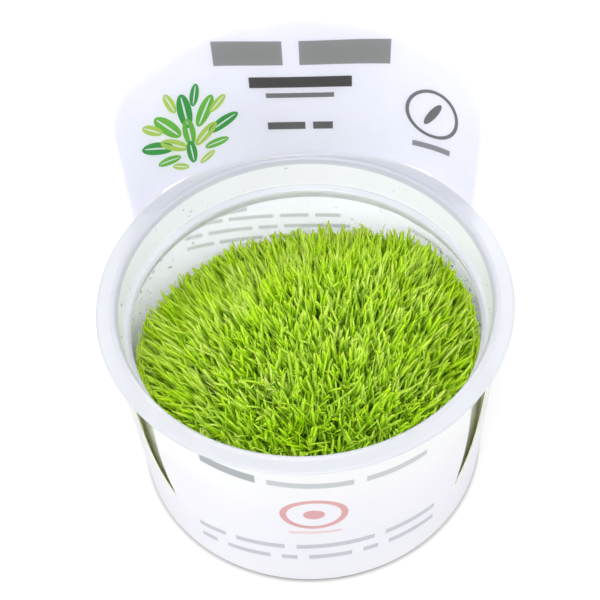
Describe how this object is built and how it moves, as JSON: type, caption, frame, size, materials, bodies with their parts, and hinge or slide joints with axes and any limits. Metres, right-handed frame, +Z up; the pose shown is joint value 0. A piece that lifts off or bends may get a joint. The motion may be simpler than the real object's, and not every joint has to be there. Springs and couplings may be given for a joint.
{
  "type": "tissue culture cup of utricularia graminifolia",
  "caption": "Clear tapered cup with a wide rim, holding a dense bright green mat of grass-like aquarium plants on gel, in a white card sleeve that rises into a curved display panel.",
  "frame": {"origin": "centre of the cup's flat underside, on the surface it stands on", "axes": "+Z up along the axis of the cup, -Y towards the front of the card sleeve, the display panel at +Y"},
  "size_m": [0.1, 0.1, 0.1023],
  "materials": {
    "clear_plastic": "clear thin-walled moulded plastic, smooth, with fine haze and a few droplets inside",
    "white_card": "smooth white coated card with plain grey, green and pink printing",
    "gel": "pale cloudy nutrient gel, wet and soft",
    "leaf": "thin bright yellow-green leaves with a soft sheen, darker between them"
  },
  "bodies": {
    "root": {"cup": "clear_plastic", "card_sleeve": "white_card", "nutrient_gel": "gel", "plant_mat": "leaf"}
  },
  "joints": []
}
